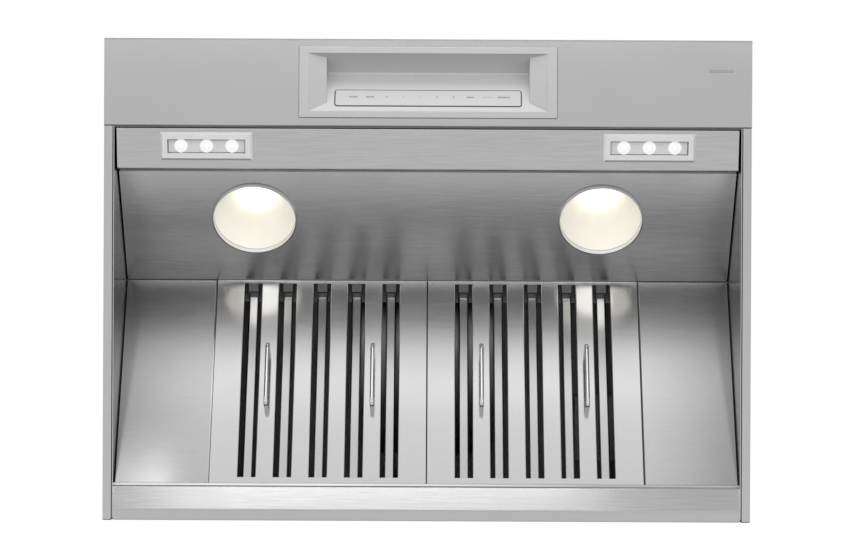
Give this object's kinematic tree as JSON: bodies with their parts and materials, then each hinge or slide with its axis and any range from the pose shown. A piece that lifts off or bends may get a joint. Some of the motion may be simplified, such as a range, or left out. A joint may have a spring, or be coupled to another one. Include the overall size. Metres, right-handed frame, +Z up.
{
  "type": "wall mount range hood",
  "caption": "Canopy range hood for a wall, with slotted baffle filters, a touch control recess, strip lights, round lamps, a centrifugal blower and a damped duct collar.",
  "frame": {"origin": "centre of the four wall holes, on the wall plane", "axes": "+Z up, +Y into the wall so that the front faces -Y, +X to the right of a person facing the hood"},
  "size_m": [0.914, 0.68, 0.5083],
  "materials": {
    "shell_steel": "brushed lengthways, satin",
    "liner_steel": "fine brushed",
    "filter_steel": "bright fine brushed",
    "polished_rod": "polished",
    "galvanised_steel": "galvanised, dull",
    "spring_steel": "ground",
    "bezel_silver": "satin silver",
    "touch_panel": "smooth silver print under a clear face",
    "led_tray": "satin silver",
    "led_lens": "frosted, lit",
    "lamp_reflector": "cream enamel",
    "lamp_trim": "polished ring",
    "lamp_bulb": "frosted, lit",
    "lamp_socket": "unglazed ceramic look",
    "circuit_board": "solder resist",
    "dark_case": "fine grained",
    "motor_paint": "semi gloss",
    "screws": "zinc plated"
  },
  "bodies": {
    "hood": {"left_side_skin": "shell_steel", "right_side_skin": "shell_steel", "front_lip": "shell_steel", "canopy_slope": "shell_steel", "top_panel": "shell_steel", "back_panel": "shell_steel", "left_inner_wall": "liner_steel", "right_inner_wall": "liner_steel", "light_rail": "liner_steel", "lamp_panel": "liner_steel", "left_filler_panel": "liner_steel", "right_filler_panel": "liner_steel", "grease_trough": "liner_steel", "apex_beam": "galvanised_steel", "rear_rail": "galvanised_steel", "filter_tie": "galvanised_steel", "blower_housing": "galvanised_steel", "motor_spider": "galvanised_steel", "duct_collar": "galvanised_steel", "junction_box": "galvanised_steel", "junction_cover": "galvanised_steel", "filter_clips": "spring_steel", "flap_pins": "spring_steel", "control_bezel": "bezel_silver", "left_led_frame": "bezel_silver", "right_led_frame": "bezel_silver", "touch_glass": "touch_panel", "left_led_tray": "led_tray", "right_led_tray": "led_tray", "left_led_lenses": "led_lens", "right_led_lenses": "led_lens", "left_lamp_reflector": "lamp_reflector", "right_lamp_reflector": "lamp_reflector", "left_lamp_trim": "lamp_trim", "right_lamp_trim": "lamp_trim", "left_lamp_bulb": "lamp_bulb", "right_lamp_bulb": "lamp_bulb", "left_lamp_socket": "lamp_socket", "right_lamp_socket": "lamp_socket", "touch_board": "circuit_board", "left_led_board": "circuit_board", "right_led_board": "circuit_board", "control_module": "dark_case", "led_driver": "dark_case", "blower_motor": "motor_paint", "spider_screws": "screws", "top_screws": "screws"},
    "left_filter": {"left_filter_face": "filter_steel", "left_filter_frame": "filter_steel", "left_filter_baffles": "filter_steel", "left_filter_handles": "polished_rod"},
    "right_filter": {"right_filter_face": "filter_steel", "right_filter_frame": "filter_steel", "right_filter_baffles": "filter_steel", "right_filter_handles": "polished_rod"},
    "blower_rotor": {"blower_wheel": "galvanised_steel", "wheel_rings": "galvanised_steel", "blower_shaft": "spring_steel"},
    "front_flap": {"front_damper_flap": "galvanised_steel"},
    "rear_flap": {"rear_damper_flap": "galvanised_steel"}
  },
  "joints": [
    {"name": "left_filter_pull", "type": "slide", "parent": "hood", "child": "left_filter", "axis": [0, -0.4698, -0.8828], "range_m": [0, 0.25]},
    {"name": "right_filter_pull", "type": "slide", "parent": "hood", "child": "right_filter", "axis": [0, -0.4698, -0.8828], "range_m": [0, 0.25]},
    {"name": "blower_spin", "type": "hinge", "parent": "hood", "child": "blower_rotor", "pos_m": [0, -0.2205, -0.008], "axis": [1, 0, 0], "continuous": true},
    {"name": "front_flap_swing", "type": "hinge", "parent": "hood", "child": "front_flap", "pos_m": [0, -0.1575, 0.179], "axis": [-1, 0, 0], "range_deg": [0, 80]},
    {"name": "rear_flap_swing", "type": "hinge", "parent": "hood", "child": "rear_flap", "pos_m": [0, -0.1475, 0.179], "axis": [1, 0, 0], "range_deg": [0, 80]}
  ]
}
